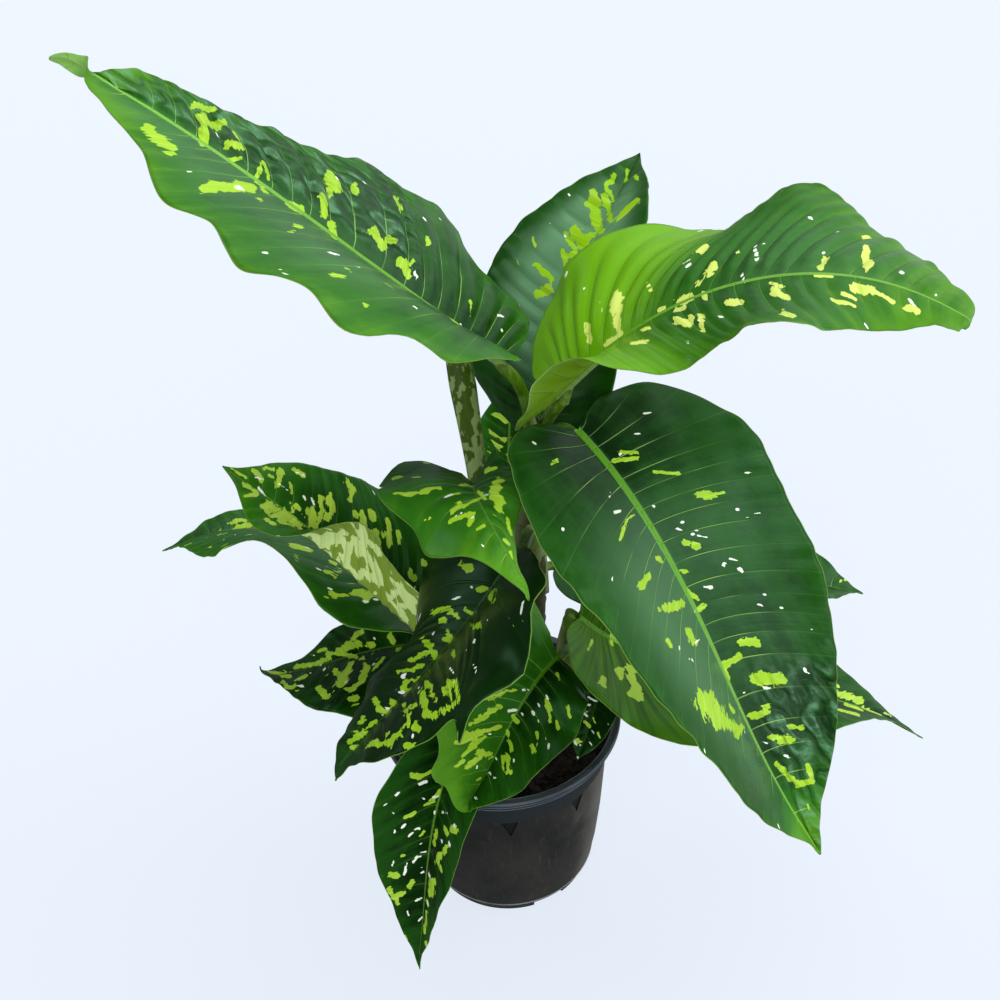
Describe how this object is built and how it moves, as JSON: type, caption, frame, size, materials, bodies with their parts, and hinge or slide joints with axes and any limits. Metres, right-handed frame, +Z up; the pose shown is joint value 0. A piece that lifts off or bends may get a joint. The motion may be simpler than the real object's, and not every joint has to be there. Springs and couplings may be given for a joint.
{
  "type": "potted dieffenbachia",
  "caption": "House plant with broad dark green leaves blotched in yellow green, on upright canes in a round black nursery pot.",
  "frame": {"origin": "middle of the flat underside of the pot, where it rests", "axes": "+Z up through the pot, -Y towards the front that the picture shows, +X to its right"},
  "size_m": [0.4576, 0.3124, 0.4989],
  "materials": {
    "pot": "black moulded plastic, satin, a little scuffed",
    "soil": "dark crumbly potting mix of bark and peat",
    "stem": "olive green living stem with pale mottling",
    "young_leaf": "olive green underside with cream blotches",
    "leaf": "glossy dark green with yellow green blotches and white flecks"
  },
  "bodies": {
    "root": {"pot": "pot", "soil": "soil", "cane_main": "stem", "cane_left": "stem", "cane_right": "stem", "furled_leaf": "young_leaf", "blade_upper_left": "leaf", "blade_upper_right": "leaf", "blade_front_right": "leaf", "blade_upper_back": "leaf", "blade_middle_front": "leaf", "blade_left_folded": "leaf", "blade_left_under": "leaf", "blade_left_low": "leaf", "blade_centre": "leaf", "blade_front_centre": "leaf", "blade_front_low": "leaf", "blade_right_low": "leaf", "blade_right_back": "leaf", "blade_in_pot": "leaf", "blade_small_back": "leaf"}
  },
  "joints": []
}
